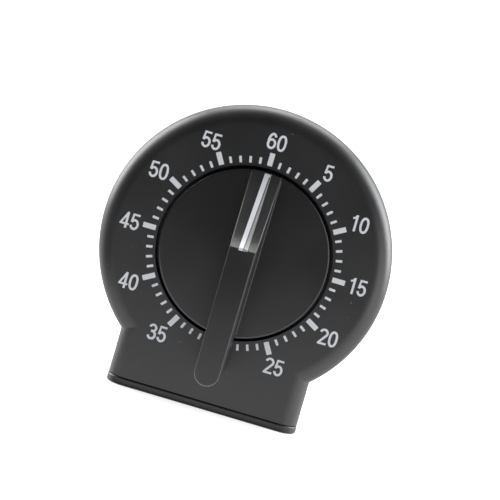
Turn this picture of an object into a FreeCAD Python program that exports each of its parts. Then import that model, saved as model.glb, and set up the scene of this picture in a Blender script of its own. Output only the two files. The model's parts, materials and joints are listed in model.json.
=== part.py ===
import FreeCAD, Part
import math
import os

# Wind-up kitchen timer with a round face on a square foot.
# Frame: X to the right, the face looks along -Y, Z up. The origin is the middle of the
# foot's underside, half way through the case's depth. All lengths are millimetres.

# --- Driving dimensions: the case ---
BODY_R = 33.8            # round part of the case
AXIS_Z = 37.6            # height of the knob's axis over the table
FOOT_HALF_W = 22.65      # half the width of the square foot
FACE_Y = -15.5           # flat front of the case
BACK_Y = 15.5            # flat back of the case
PART_Y = 5.0             # plane where the front housing meets the rear cover
WALL = 2.0
FRONT_ROUND = 4.0        # rounding between the face and the sides
BACK_ROUND = 2.0
SIDE_DRAFT = 0.11        # how fast the sides draw in towards the back
HOUSING_BOTTOM_Z = 2.0
SEAM_GROOVE = 0.35       # width and depth of the shadow line at the parting plane

BASE_TOP_Z = 1.85        # top of the base plate's visible band
BASE_PROUD = 0.08        # how far the base plate stands out past the housing
BASE_STEP_INSET = 0.55   # depth of the shadow groove over the base plate
TONGUE_TOP_Z = 4.2
TONGUE_WALL = 1.4
TONGUE_GAP = 0.1

WELL_R = 20.36           # round recess that the knob turns in
WELL_WALL = 1.5
WELL_FLOOR_Y = -11.9
WELL_FLOOR_T = 1.5
WELL_HOLE_R = 3.0

LIP_GAP = 0.15           # round the cover's locating lip
LIP_T = 1.0
LIP_REACH = 1.5          # how far the lip goes into the housing
LIP_FROM_Z = AXIS_Z - 15.0
SLOT_PITCH = 3.2         # sound slots in the back
SLOT_HALF_H = 0.8
SLOT_FIELD_R = 13.5
SLOTS_EACH_SIDE = 3

# --- Driving dimensions: the knob ---
KNOB_R = 19.6
KNOB_FRONT_Y = -16.3
KNOB_BACK_Y = -12.7
KNOB_EDGE_ROUND = 0.45
KNOB_POCKET_R = 17.6
KNOB_POCKET_Y = -14.4
HUB_R = 4.2
LEVER_TOP_Y = -32.5      # front of the finger bar
LEVER_TAIL = 28.7        # from the axis to the end of the bar's round tail
LEVER_TAIL_Y = -16.1     # underside of the tail, just in front of the face
LEVER_HALF_W = 3.05      # half width of the bar's front at the axis
LEVER_TAPER = 0.2 / 28.7     # half width lost per millimetre towards the tail
LEVER_DRAFT = 0.38       # how much wider each side is at the disc than at the front
LEVER_EDGE_ROUND = 0.3
BAR_SKIRT = 0.22         # small slope along the bar's foot on the disc
BAR_SKIRT_END = 18.4     # how far it runs from the axis, both ways
BREAK_V = 3.5            # where the bar's front ends and the ramp begins
RAMP_FOOT_V = 6.2        # the hollow below the break runs smoothly into the ramp here
RAMP_FOOT_Y = -28.85
RAMP_END_V = 19.3        # the ramp meets the disc's edge
RAMP_END_Y = -16.6
# The white pointer on the ramp, its edges as x at its upper end and x at the disc.
RIDGE_LEFT = (-0.95, -0.42)
RIDGE_STEP = (0.0, 0.72)         # the high rib ends here and the lower flank begins
RIDGE_RIGHT = (1.12, 1.12)
RIDGE_H = 0.55
RIDGE_FLANK_H = 0.3
RIDGE_GROOVE_W = 0.2     # groove between rib and flank
RIDGE_TIE = 0.5          # length at the pointer's foot where the groove stops
RIDGE_ON_TOP = 0.3       # how far the pointer runs on past the break

# --- Driving dimensions: the movement, between its two plates ---
PLATE_R = 24.4
PLATE_T = 1.0
PLATE_FRONT_Y = -9.0
PLATE_REAR_Y = 8.0
GAP_FRONT = PLATE_FRONT_Y + PLATE_T      # inner face of the front plate
GAP_REAR = PLATE_REAR_Y                  # inner face of the rear plate
LUG_R = 27.0
LUG_ANGLES = (90.0, 215.0, 325.0)
PILLARS = ((-15.5, 16.0), (15.5, 16.0), (-22.5, 1.0), (12.5, -20.5))
PILLAR_R = 2.0
LUG_HALF_W = 2.6
RUNNING_GAP = 0.05       # radial clearance of every turning shaft

ARBOR_R = 2.0            # where the main arbor passes the plates
ARBOR_BODY_R = 2.4       # between the plates
ARBOR_FRONT_Y = -14.8
ARBOR_REAR_Y = 9.7
ARBOR_FLAT_X = 1.4
ARBOR_FLAT_END_Y = -12.6
END_SHAKE = 0.15         # axial play of each arbor between the plates
STAFF_R = 0.6            # arbors of the train

# Places of the arbors, from the main arbor, as (x, z).
SECOND_AT = (-11.4551, -11.4551)
THIRD_AT = (-3.1, -17.31)
ESCAPE_AT = (4.66, -15.97)
LEVER_AT = (10.77, -13.7)
BALANCE_AT = (15.77, -5.04)
ALARM_AT = (-13.5, 9.5)
HAMMER_AT = (-10.0, -19.0)
BELL_AT = (0.0, 5.0)

MAIN_TEETH = 72
MAIN_MODULE = 0.4
MAIN_Y = (-2.8, -2.0)
SECOND_LEAVES = 9
SECOND_TEETH = 60
SECOND_MODULE = 0.3
SECOND_Y = (-0.6, 0.0)
THIRD_LEAVES = 8
THIRD_TEETH = 56
THIRD_MODULE = 0.25
THIRD_Y = (1.4, 2.0)
ESCAPE_LEAVES = 7
ESCAPE_TEETH = 15
ESCAPE_R = 5.0
ESCAPE_ROOT_R = 3.7
ESCAPE_Y = (2.6, 3.1)
LEVER_Y = (3.4, 3.9)
BALANCE_R = 8.0
BALANCE_RIM_R = 6.6      # inner radius of the balance's rim
BALANCE_Y = (5.0, 5.9)
ROLLER_R = 2.6           # the balance's roller, which carries the impulse pin
ROLLER_T = 0.6
HAIRSPRING_Y = (6.7, 7.1)
HAIRSPRING_R = 1.05      # inner end of the hairspring
HAIRSPRING_HALF_TURNS = 9
HAIRSPRING_PITCH = 0.8
HAIRSPRING_T = 0.15
STUD_R = 0.4
PINION_PROUD = 0.2       # a pinion's leaves reach this far past its wheel, each side

PALLET_PIN_R = 0.25
PALLET_CLEAR = 0.1       # pin to tooth tip with the lever in the middle
PALLET_SPAN = 60.0       # degrees of the escape wheel between the two pins
FORK_REACH = 8.0         # lever pivot to the middle of the fork's slot
IMPULSE_R = 0.4
FORK_SLOT_HALF = 0.5

CAM_R = 5.5
CAM_NOTCH_R = 3.9
CAM_Y = (0.6, 1.6)
ALARM_NOSE_Z = 5.68      # nose of the lifted alarm lever, just clear of the cam

CLUTCH_T = 0.3
SPRING_Y = (-7.4, -3.4)
SPRING_R = ARBOR_BODY_R + 0.35           # inner end of the mainspring
SPRING_POST_R = 0.9
SPRING_T = 0.35
SPRING_PITCH = 1.2
SPRING_HALF_TURNS = 17

BELL_R = 17.0
BELL_RIM_Y = 10.1
BELL_CROWN_Y = 12.7
BELL_T = 0.7
BELL_HOLE_R = 1.3
BELL_FLAT_R = 3.0        # the flat middle that the nut holds
BELL_SHOULDER = 3.0      # the crown's turn-down starts this far inside the rim
BELL_STUD_R = 1.2
BELL_NUT_R = 2.5
BELL_NUT_T = 0.6
HAMMER_HEAD_R = 1.5
HAMMER_GAP = 1.0         # from the hammer's head to the bell at rest
HAMMER_ANGLE = 215.0     # where the head strikes, seen from the bell's middle
HAMMER_Y = (9.3, 9.8)
HAMMER_PALLET_T = 0.7

# --- Driving dimensions: screws ---
COVER_SCREWS = ((22.0, 53.0), (-22.0, 53.0), (15.6, 8.0), (-15.6, 8.0))
COVER_BOSS_R = 2.1
COVER_HEAD_R = 1.9
COVER_SCREW_R = 1.0
COVER_WELL_R = 2.1
COVER_WELL_WALL = 1.0
COVER_WELL_FLOOR_Y = 6.6
COVER_HEAD_T = 1.4
BASE_SCREW_X = 11.0
BASE_SCREW_Y = -2.0
BASE_SCREW_R = 1.1
BASE_HEAD_R = 2.2
BASE_HEAD_Z = (0.3, 1.5)
BASE_SCREW_TIP_Z = 10.5
BASE_RIB_HALF_W = 2.4
BASE_RIB_Z = (5.1, 12.0)
MOVEMENT_BOSS_R = 2.6
MOVEMENT_SCREW_R = 0.97
MOVEMENT_HEAD_R = 1.7
MOVEMENT_HEAD_T = 1.1
MOVEMENT_TIP_Y = -12.4
PILLAR_SCREW_R = 0.95
PILLAR_HEAD_R = 1.6
PILLAR_HEAD_T = 0.9
PILLAR_SCREW_REACH = 3.0 # how far each screw goes into its pillar
THREAD_GAP = 0.05        # between a screw's plain shank and its hole
CROSS_DEPTH = 0.7        # crosshead recess
CROSS_HALF_W = 0.25
CROSS_REACH = 0.55       # its arms, as a share of the head's radius

V = FreeCAD.Vector
DEPTH = V(0, 1, 0)


# --- Helpers: each takes x and z in the case's frame and a span along Y ---
def at(place):
    """A place given from the main arbor, in the case's frame."""
    return place[0], AXIS_Z + place[1]


def polar(centre, radius, degrees):
    angle = math.radians(degrees)
    return centre[0] + radius * math.cos(angle), centre[1] + radius * math.sin(angle)


def direction(start, end):
    return math.degrees(math.atan2(end[1] - start[1], end[0] - start[0]))


def rod(radius, span, place=(0.0, AXIS_Z)):
    """A round bar along Y."""
    start, end = span
    return Part.makeCylinder(radius, end - start, V(place[0], start, place[1]), DEPTH)


def tube(outer, inner, span, place=(0.0, AXIS_Z)):
    return rod(outer, span, place).cut(rod(inner, span, place))


def block(x_span, y_span, z_span):
    size = [high - low for low, high in (x_span, y_span, z_span)]
    return Part.makeBox(*size, V(x_span[0], y_span[0], z_span[0]))


def slab(points, span):
    """A flat piece with a polygon outline in x and z."""
    start, end = span
    corners = [V(x, start, z) for x, z in points]
    face = Part.Face(Part.makePolygon(corners + corners[:1]))
    return face.extrude(V(0, end - start, 0))


def bar_between(start, end, half_width, span):
    """A flat bar with round ends from one place to another."""
    across = direction(start, end) + 90.0
    corners = [
        polar(start, half_width, across),
        polar(end, half_width, across),
        polar(end, half_width, across + 180.0),
        polar(start, half_width, across + 180.0),
    ]
    body = slab(corners, span)
    ends = [rod(half_width, span, place) for place in (start, end)]
    return body.multiFuse(ends).removeSplitter()


def turned(profile, place=(0.0, AXIS_Z)):
    """A solid turned about a Y axis, from (radius, y) corners."""
    corners = [V(place[0] + radius, y, place[1]) for radius, y in profile]
    face = Part.Face(Part.makePolygon(corners + corners[:1]))
    return face.revolve(V(place[0], 0, place[1]), DEPTH, 360)


def gear(centre, teeth, module, span, phase, leaf, bore):
    """A toothed disc. phase is the direction of one tooth; leaf is the tooth's outline, as
    (height over the pitch circle in modules, half width in tooth pitches)."""
    pitch_r = teeth * module / 2.0
    step = 360.0 / teeth
    outline = []
    for number in range(teeth):
        middle = phase + number * step
        flank = [(pitch_r + height * module, half * step) for height, half in leaf]
        outline += [polar(centre, radius, middle - half) for radius, half in flank]
        outline += [polar(centre, radius, middle + half) for radius, half in reversed(flank)]
    return slab(outline, span).cut(rod(bore, span, centre))


WHEEL_TOOTH = ((-1.2, 0.27), (0.0, 0.2), (0.45, 0.14), (0.8, 0.05))
PINION_LEAF = ((-1.25, 0.13), (0.0, 0.13), (0.5, 0.05))


def spoked(wheel, centre, hub_r, rim_r, spokes, half_width, span):
    """A wheel with its web cut away between spokes."""
    openings = tube(rim_r, hub_r, span, centre)
    for number in range(spokes):
        tip = polar(centre, rim_r + 1.0, 90.0 + number * 360.0 / spokes)
        openings = openings.cut(bar_between(centre, tip, half_width, span))
    return wheel.cut(openings)


def spiral(centre, inner_r, pitch, half_turns, thickness, span):
    """A flat strip wound in half circles whose centres change side at each half turn."""
    start, end = span
    sides = []
    for offset in (0.0, thickness):
        arcs = []
        for number in range(half_turns):
            radius = inner_r + offset + number * pitch / 2.0
            side = 1.0 if number % 2 == 0 else -1.0
            middle = centre[0] + (side - 1.0) * pitch / 4.0
            points = [(middle - side * radius, 0.0), (middle, side * radius), (middle + side * radius, 0.0)]
            arcs.append([V(x, start, centre[1] + z) for x, z in points])
        sides.append(arcs)
    edges = [Part.Arc(*arc).toShape() for arc in sides[0] + sides[1]]
    edges.append(Part.makeLine(sides[0][0][0], sides[1][0][0]))
    edges.append(Part.makeLine(sides[0][-1][2], sides[1][-1][2]))
    wire = Part.Wire(Part.__sortEdges__(edges))
    return Part.Face(wire).extrude(V(0, end - start, 0))


def one(shapes):
    """Several solids in one node."""
    return Part.makeCompound([solid for shape in shapes for solid in shape.Solids])


# --- The case ---
def half_section(half_w, front, back, front_round, back_round):
    """Half of the case's section: corners and edges from the middle of the face, over the
    drafted side, to the middle of the back. It is drawn in x and y, at z = 0."""
    lean = math.atan(SIDE_DRAFT)
    front_hub = V(half_w - front_round / math.cos(lean), front + front_round, 0)
    back_hub_y = back - back_round
    fall = SIDE_DRAFT * (back_hub_y - front_hub.y)
    back_hub = V(half_w - fall - back_round / math.cos(lean), back_hub_y, 0)

    def on_arc(hub, radius, angle):
        return hub.add(V(radius * math.cos(angle), radius * math.sin(angle), 0))

    quarter = math.pi / 2
    front_start = on_arc(front_hub, front_round, -quarter)
    front_middle = on_arc(front_hub, front_round, (lean - quarter) / 2)
    front_end = on_arc(front_hub, front_round, lean)
    back_start = on_arc(back_hub, back_round, lean)
    back_middle = on_arc(back_hub, back_round, (lean + quarter) / 2)
    back_end = on_arc(back_hub, back_round, quarter)
    return [
        Part.makeLine(V(0, front, 0), front_start),
        Part.Arc(front_start, front_middle, front_end).toShape(),
        Part.makeLine(front_end, back_start),
        Part.Arc(back_start, back_middle, back_end).toShape(),
        Part.makeLine(back_end, V(0, back, 0)),
    ]


def drum(half_w, front, back, front_round, back_round):
    """The round part of the case."""
    edges = half_section(half_w, front, back, front_round, back_round)
    edges.append(Part.makeLine(V(0, back, 0), V(0, front, 0)))
    half = Part.Face(Part.Wire(edges))
    half.translate(V(0, 0, AXIS_Z))
    return half.revolve(V(0, 0, AXIS_Z), DEPTH, 360)


def foot_block(half_w, front, back, z_span, front_round, back_round):
    """The square part of the case, or a slice of it."""
    right = half_section(half_w, front, back, front_round, back_round)
    left = [edge.mirror(V(0, 0, 0), V(1, 0, 0)) for edge in right]
    outline = Part.Wire(Part.__sortEdges__(right + left))
    block_shape = Part.Face(outline).extrude(V(0, 0, z_span[1] - z_span[0]))
    block_shape.translate(V(0, 0, z_span[0]))
    return block_shape.removeSplitter()


def case_solid(inset, bottom_z):
    """The whole case as one solid, shrunk by inset on every side."""
    section = (FACE_Y + inset, BACK_Y - inset)
    rounds = (max(FRONT_ROUND - inset, 1.0), max(BACK_ROUND - inset, 0.6))
    round_part = drum(BODY_R - inset, *section, *rounds)
    foot = foot_block(FOOT_HALF_W - inset, *section, (bottom_z, AXIS_Z), *rounds)
    return round_part.fuse(foot).removeSplitter()


def case_shell(y_span):
    """The part of the hollow case between two depths."""
    outer = case_solid(0.0, HOUSING_BOTTOM_Z)
    inner = case_solid(WALL, HOUSING_BOTTOM_Z - 1.0)
    reach = 2.0 * BODY_R
    window = block((-reach, reach), y_span, (0.0, AXIS_Z + reach))
    return outer.common(window).cut(inner)


def movement_screw_places():
    return [polar((0.0, AXIS_Z), LUG_R, angle) for angle in LUG_ANGLES]


def base_rib(side):
    """The rib behind the face that a base screw goes up into."""
    middle = side * BASE_SCREW_X
    back = BASE_SCREW_Y + BASE_SCREW_R + 1.5
    return block((middle - BASE_RIB_HALF_W, middle + BASE_RIB_HALF_W), (FACE_Y + WALL, back), BASE_RIB_Z)


def front_housing():
    shell = case_shell((FACE_Y - 1.0, PART_Y))
    inner_face = FACE_Y + WALL
    floor_back = WELL_FLOOR_Y + WELL_FLOOR_T
    shell = shell.cut(rod(WELL_R, (FACE_Y - 1.0, inner_face + 0.1)))
    well = rod(WELL_R + WELL_WALL, (inner_face, floor_back))
    well = well.cut(rod(WELL_R, (inner_face, WELL_FLOOR_Y)))
    well = well.cut(rod(WELL_HOLE_R, (WELL_FLOOR_Y, floor_back)))
    added = [well]
    boss_span = (inner_face, PLATE_FRONT_Y)
    added += [rod(MOVEMENT_BOSS_R, boss_span, place) for place in movement_screw_places()]
    added += [rod(COVER_BOSS_R, (inner_face, PART_Y), place) for place in COVER_SCREWS]
    added += [base_rib(side) for side in (-1, 1)]
    shell = shell.multiFuse(added).removeSplitter()
    hole_span = (MOVEMENT_TIP_Y - 0.2, PLATE_FRONT_Y)
    holes = [rod(MOVEMENT_SCREW_R + THREAD_GAP, hole_span, place) for place in movement_screw_places()]
    holes += [rod(COVER_SCREW_R + THREAD_GAP, (-5.0, PART_Y), place) for place in COVER_SCREWS]
    for side in (-1, 1):
        hole_r = BASE_SCREW_R + THREAD_GAP
        depth = BASE_SCREW_TIP_Z + 0.6 - BASE_RIB_Z[0]
        holes.append(Part.makeCylinder(hole_r, depth, V(side * BASE_SCREW_X, BASE_SCREW_Y, BASE_RIB_Z[0])))
    return shell.cut(one(holes))


def sound_slots():
    """Slots through the back that let the bell be heard, inside a round field."""
    span = (BACK_Y - WALL - 0.5, BACK_Y + 1.0)
    slots = []
    for number in range(-SLOTS_EACH_SIDE, SLOTS_EACH_SIDE + 1):
        height = number * SLOT_PITCH
        half_length = math.sqrt(SLOT_FIELD_R ** 2 - height ** 2) - SLOT_HALF_H
        z = AXIS_Z + BELL_AT[1] + height
        slots.append(bar_between((-half_length, z), (half_length, z), SLOT_HALF_H, span))
    return one(slots)


def locating_lip():
    """A ring on the cover's rim that slips inside the housing, and the root that carries it."""
    lip_r = BODY_R - WALL - SIDE_DRAFT * (PART_Y - FACE_Y - FRONT_ROUND) - LIP_GAP
    upper = block((-BODY_R, BODY_R), (0.0, BACK_Y), (LIP_FROM_Z, AXIS_Z + BODY_R))
    root_span = (PART_Y, PART_Y + 2.0)
    lip = tube(lip_r, lip_r - LIP_T, (PART_Y - LIP_REACH, root_span[1])).common(upper)
    lip = lip.cut(one([rod(COVER_BOSS_R + 0.3, (0.0, PART_Y), place) for place in COVER_SCREWS]))
    root = tube(lip_r + 0.4, lip_r - LIP_T, root_span).common(upper)
    return [lip, root]


def rear_cover():
    shell = case_shell((PART_Y, BACK_Y + 1.0))
    well_span = (PART_Y, BACK_Y - WALL + 0.5)
    wells = [rod(COVER_WELL_R + COVER_WELL_WALL, well_span, place) for place in COVER_SCREWS]
    shell = shell.multiFuse(wells + locating_lip()).removeSplitter()
    outside = case_solid(-1.0, 0.0)
    holes = [rod(COVER_WELL_R, (COVER_WELL_FLOOR_Y, BACK_Y + 1.0), place) for place in COVER_SCREWS]
    holes += [rod(COVER_SCREW_R + 0.3, (PART_Y - 1.0, COVER_WELL_FLOOR_Y + 1.0), place)
              for place in COVER_SCREWS]
    reach = 2.0 * BODY_R
    seam = outside.common(block((-reach, reach), (PART_Y, PART_Y + SEAM_GROOVE), (-reach, AXIS_Z + reach)))
    seam = seam.cut(case_solid(SEAM_GROOVE, HOUSING_BOTTOM_Z - 5.0))
    return shell.cut(one(holes)).cut(sound_slots()).cut(seam)


def base_foot():
    """The base plate, with a step that leaves the shadow groove and a tongue inside the case."""
    front = FACE_Y - BASE_PROUD
    back = BACK_Y + BASE_PROUD
    half_w = FOOT_HALF_W + BASE_PROUD
    band = foot_block(half_w, front, back, (0.0, BASE_TOP_Z), FRONT_ROUND, BACK_ROUND)
    rim = [edge for edge in band.Edges if edge.BoundBox.ZLength < 0.01]
    band = band.makeFillet(0.4, rim)
    inset = BASE_STEP_INSET
    step = foot_block(FOOT_HALF_W - inset, FACE_Y + inset, BACK_Y - inset,
                      (BASE_TOP_Z, HOUSING_BOTTOM_Z), FRONT_ROUND - inset, BACK_ROUND - inset)
    inset = WALL + TONGUE_GAP
    tongue = foot_block(FOOT_HALF_W - inset, FACE_Y + inset, BACK_Y - inset,
                        (HOUSING_BOTTOM_Z, TONGUE_TOP_Z), FRONT_ROUND - inset, 0.6)
    hollow_inset = inset + TONGUE_WALL
    hollow = foot_block(FOOT_HALF_W - hollow_inset, FACE_Y + hollow_inset, BACK_Y - hollow_inset,
                        (HOUSING_BOTTOM_Z, TONGUE_TOP_Z), 1.0, 0.6)
    plate = band.multiFuse([step, tongue.cut(hollow)]).removeSplitter()
    for side in (-1, 1):
        x = side * BASE_SCREW_X
        plate = plate.fuse(Part.makeCylinder(3.0, 2.0, V(x, BASE_SCREW_Y, BASE_TOP_Z)))
        plate = plate.cut(Part.makeCylinder(BASE_SCREW_R + 0.25, 6.0, V(x, BASE_SCREW_Y, 0.0)))
        plate = plate.cut(Part.makeCylinder(BASE_HEAD_R + 0.2, BASE_HEAD_Z[1], V(x, BASE_SCREW_Y, 0.0)))
    return plate.removeSplitter()


# --- Screws ---
def crosshead(place, y_face, radius, toward_back):
    """The cross-shaped recess in a screw's head."""
    span = (y_face - CROSS_DEPTH, y_face) if toward_back else (y_face, y_face + CROSS_DEPTH)
    x, z = place
    arm = radius * CROSS_REACH
    tall = block((x - CROSS_HALF_W, x + CROSS_HALF_W), span, (z - arm, z + arm))
    wide = block((x - arm, x + arm), span, (z - CROSS_HALF_W, z + CROSS_HALF_W))
    return tall.fuse(wide)


def cover_screws():
    screws = []
    head_back = COVER_WELL_FLOOR_Y + COVER_HEAD_T
    for place in COVER_SCREWS:
        head = rod(COVER_HEAD_R, (COVER_WELL_FLOOR_Y, head_back), place)
        shank = rod(COVER_SCREW_R, (-4.0, COVER_WELL_FLOOR_Y), place)
        screw = head.fuse(shank).cut(crosshead(place, head_back, COVER_HEAD_R, True))
        screws.append(screw.removeSplitter())
    return one(screws)


def base_screws():
    screws = []
    for side in (-1, 1):
        head_z, shank_z = BASE_HEAD_Z
        head_foot = V(side * BASE_SCREW_X, BASE_SCREW_Y, head_z)
        head = Part.makeCylinder(BASE_HEAD_R, shank_z - head_z, head_foot)
        shank_foot = V(head_foot.x, BASE_SCREW_Y, shank_z)
        shank = Part.makeCylinder(BASE_SCREW_R, BASE_SCREW_TIP_Z - shank_z, shank_foot)
        slot = Part.makeBox(3.0, 0.5, 0.6, head_foot.add(V(-1.5, -0.25, 0)))
        screws.append(head.fuse(shank).cut(slot).removeSplitter())
    return one(screws)


def movement_screws():
    screws = []
    head_back = GAP_FRONT + MOVEMENT_HEAD_T
    for place in movement_screw_places():
        head = rod(MOVEMENT_HEAD_R, (GAP_FRONT, head_back), place)
        shank = rod(MOVEMENT_SCREW_R, (MOVEMENT_TIP_Y, GAP_FRONT), place)
        screw = head.fuse(shank).cut(crosshead(place, head_back, MOVEMENT_HEAD_R, True))
        screws.append(screw.removeSplitter())
    return one(screws)


def pillar_screws():
    screws = []
    front_head_y = PLATE_FRONT_Y - PILLAR_HEAD_T
    rear_face = GAP_REAR + PLATE_T
    rear_head_y = rear_face + PILLAR_HEAD_T
    for pillar in PILLARS:
        place = at(pillar)
        front = rod(PILLAR_HEAD_R, (front_head_y, PLATE_FRONT_Y), place)
        front = front.fuse(rod(PILLAR_SCREW_R, (PLATE_FRONT_Y, GAP_FRONT + PILLAR_SCREW_REACH), place))
        front = front.cut(crosshead(place, front_head_y, PILLAR_HEAD_R, False))
        rear = rod(PILLAR_HEAD_R, (rear_face, rear_head_y), place)
        rear = rear.fuse(rod(PILLAR_SCREW_R, (GAP_REAR - PILLAR_SCREW_REACH, rear_face), place))
        rear = rear.cut(crosshead(place, rear_head_y, PILLAR_HEAD_R, True))
        screws += [front.removeSplitter(), rear.removeSplitter()]
    return one(screws)


# --- The knob ---
def lever_outline(extra, y):
    """The finger bar's outline seen from the front, at depth y, widened by extra on each side."""
    tail_half = LEVER_HALF_W - LEVER_TAPER * (LEVER_TAIL - LEVER_HALF_W) + extra
    end_half = LEVER_HALF_W + LEVER_TAPER * KNOB_R + extra
    tail_z = AXIS_Z - LEVER_TAIL + tail_half - extra
    end_z = AXIS_Z + KNOB_R
    left_end = V(-end_half, y, end_z)
    left_tail = V(-tail_half, y, tail_z)
    tip = V(0, y, tail_z - tail_half)
    right_tail = V(tail_half, y, tail_z)
    right_end = V(end_half, y, end_z)
    return Part.Wire([
        Part.makeLine(left_end, left_tail),
        Part.Arc(left_tail, tip, right_tail).toShape(),
        Part.makeLine(right_tail, right_end),
        Part.makeLine(right_end, left_end),
    ])


def ramp_slope():
    return math.atan2(RAMP_END_Y - RAMP_FOOT_Y, RAMP_END_V - RAMP_FOOT_V)


def hollow_middle():
    """The middle of the arc from the break to the ramp, which it meets without a corner."""
    rise = RAMP_FOOT_V - BREAK_V
    fall = RAMP_FOOT_Y - LEVER_TOP_Y
    chord = math.hypot(rise, fall)
    half_turn = math.atan2(fall, rise) - ramp_slope()
    sag = chord / 2.0 * math.tan(half_turn / 2.0)
    middle_v = (BREAK_V + RAMP_FOOT_V) / 2.0 - sag * fall / chord
    middle_y = (LEVER_TOP_Y + RAMP_FOOT_Y) / 2.0 + sag * rise / chord
    return middle_v, middle_y


def lever_side(shift_v=0.0, shift_y=0.0, reach=8.0):
    """The finger bar seen from the side, as a slab across X: flat front, hollow, ramp."""
    def corner(v, y):
        return V(-reach, y + shift_y, AXIS_Z + v + shift_v)

    tail = corner(-LEVER_TAIL - 1.0, LEVER_TOP_Y)
    crest = corner(BREAK_V, LEVER_TOP_Y)
    hollow = corner(*hollow_middle())
    ramp_top = corner(RAMP_FOOT_V, RAMP_FOOT_Y)
    ramp_end = corner(RAMP_END_V, RAMP_END_Y)
    disc_end = corner(RAMP_END_V, KNOB_FRONT_Y + 0.8)
    disc_tail = corner(-KNOB_R + 1.0, KNOB_FRONT_Y + 0.8)
    step = corner(-KNOB_R + 1.0, LEVER_TAIL_Y)
    tail_back = corner(-LEVER_TAIL - 1.0, LEVER_TAIL_Y)
    edges = [
        Part.makeLine(tail, crest),
        Part.Arc(crest, hollow, ramp_top).toShape(),
        Part.makeLine(ramp_top, ramp_end),
        Part.makeLine(ramp_end, disc_end),
        Part.makeLine(disc_end, disc_tail),
        Part.makeLine(disc_tail, step),
        Part.makeLine(step, tail_back),
        Part.makeLine(tail_back, tail),
    ]
    return Part.Face(Part.Wire(edges)).extrude(V(2 * reach, 0, 0))


def finger_bar():
    front = lever_outline(0.0, LEVER_TOP_Y)
    back = lever_outline(LEVER_DRAFT, KNOB_FRONT_Y + 1.0)
    drafted = Part.makeLoft([front, back], True, True)
    bar = drafted.common(lever_side())
    rim = [edge for edge in bar.Edges
           if abs(edge.BoundBox.YMin - LEVER_TOP_Y) < 0.01 and edge.BoundBox.YLength < 0.01
           and edge.BoundBox.ZMin < AXIS_Z - 1.0]
    slopes = [edge for edge in bar.Edges
              if edge.BoundBox.XLength < LEVER_HALF_W and edge.BoundBox.ZMin > AXIS_Z + BREAK_V - 0.1
              and edge.BoundBox.ZLength > 1.0]
    return bar.makeFillet(LEVER_EDGE_ROUND, rim + slopes)


def bar_skirt():
    """The small slope where the finger bar's sides meet the disc."""
    lean = LEVER_DRAFT / (KNOB_FRONT_Y + 1.0 - LEVER_TOP_Y)
    sunk = 0.2
    top_y = KNOB_FRONT_Y - BAR_SKIRT
    top_extra = lean * (top_y - LEVER_TOP_Y)
    top = lever_outline(top_extra, top_y)
    foot = lever_outline(top_extra + BAR_SKIRT + sunk, KNOB_FRONT_Y + sunk)
    reach = (AXIS_Z - BAR_SKIRT_END, AXIS_Z + BAR_SKIRT_END)
    window = block((-KNOB_R, KNOB_R), (top_y, KNOB_FRONT_Y + sunk), reach)
    return Part.makeLoft([top, foot], True, True).common(window)


def arbor_section(span, extra):
    """The arbor's end with its flat, grown by extra for the knob's hole."""
    round_part = rod(ARBOR_R + extra, span)
    flat = block((ARBOR_FLAT_X + extra, 5.0), span, (AXIS_Z - 5.0, AXIS_Z + 5.0))
    return round_part.cut(flat)


def knob_disc():
    disc = rod(KNOB_R, (KNOB_FRONT_Y, KNOB_BACK_Y))
    rim = [edge for edge in disc.Edges if abs(edge.BoundBox.YMax - KNOB_FRONT_Y) < 0.01
           and edge.BoundBox.YLength < 0.01]
    disc = disc.makeFillet(KNOB_EDGE_ROUND, rim)
    return disc.cut(tube(KNOB_POCKET_R, HUB_R, (KNOB_POCKET_Y, KNOB_BACK_Y)))


def dial_knob():
    knob = knob_disc().multiFuse([finger_bar(), bar_skirt()]).removeSplitter()
    return knob.cut(arbor_section((ARBOR_FRONT_Y - 0.2, KNOB_BACK_Y), 0.03))


def ridge_strip(height, left, right):
    """A skin of the given height over the ramp and the bar's front edge, between two slanting
    edges."""
    slope = ramp_slope()
    skin = lever_side(height * math.sin(slope), -height * math.cos(slope), LEVER_HALF_W)
    low = AXIS_Z + BREAK_V - RIDGE_ON_TOP
    high = AXIS_Z + RAMP_END_V
    corners = [(left[0], low), (right[0], low), (right[1], high), (left[1], high)]
    return skin.common(slab(corners, (LEVER_TOP_Y - 1.0, KNOB_FRONT_Y)))


def pointer_ridge():
    """The white pointer: a rib and, past a thin groove, a lower flank."""
    rib = ridge_strip(RIDGE_H, RIDGE_LEFT, RIDGE_STEP)
    flank_left = [x + RIDGE_GROOVE_W for x in RIDGE_STEP]
    flank = ridge_strip(RIDGE_FLANK_H, flank_left, RIDGE_RIGHT)
    tie_foot = AXIS_Z + RAMP_END_V - RIDGE_TIE
    tie_window = block((0.0, RIDGE_RIGHT[1]), (LEVER_TOP_Y, KNOB_FRONT_Y), (tie_foot, AXIS_Z + RAMP_END_V))
    tie = ridge_strip(RIDGE_FLANK_H, RIDGE_STEP, RIDGE_RIGHT).common(tie_window)
    ridge = rib.multiFuse([flank, tie]).removeSplitter().cut(finger_bar()).cut(knob_disc())
    return max(ridge.Solids, key=lambda solid: solid.Volume)


# --- The movement's frame ---
def plate_blank(y_span, lugs):
    blank = rod(PLATE_R, y_span)
    if lugs:
        places = movement_screw_places()
        ears = [bar_between((0.0, AXIS_Z), place, LUG_HALF_W, y_span) for place in places]
        blank = blank.multiFuse(ears).removeSplitter()
        hole_r = MOVEMENT_SCREW_R + 2 * THREAD_GAP
        blank = blank.cut(one([rod(hole_r, y_span, place) for place in places]))
    return blank


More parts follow.
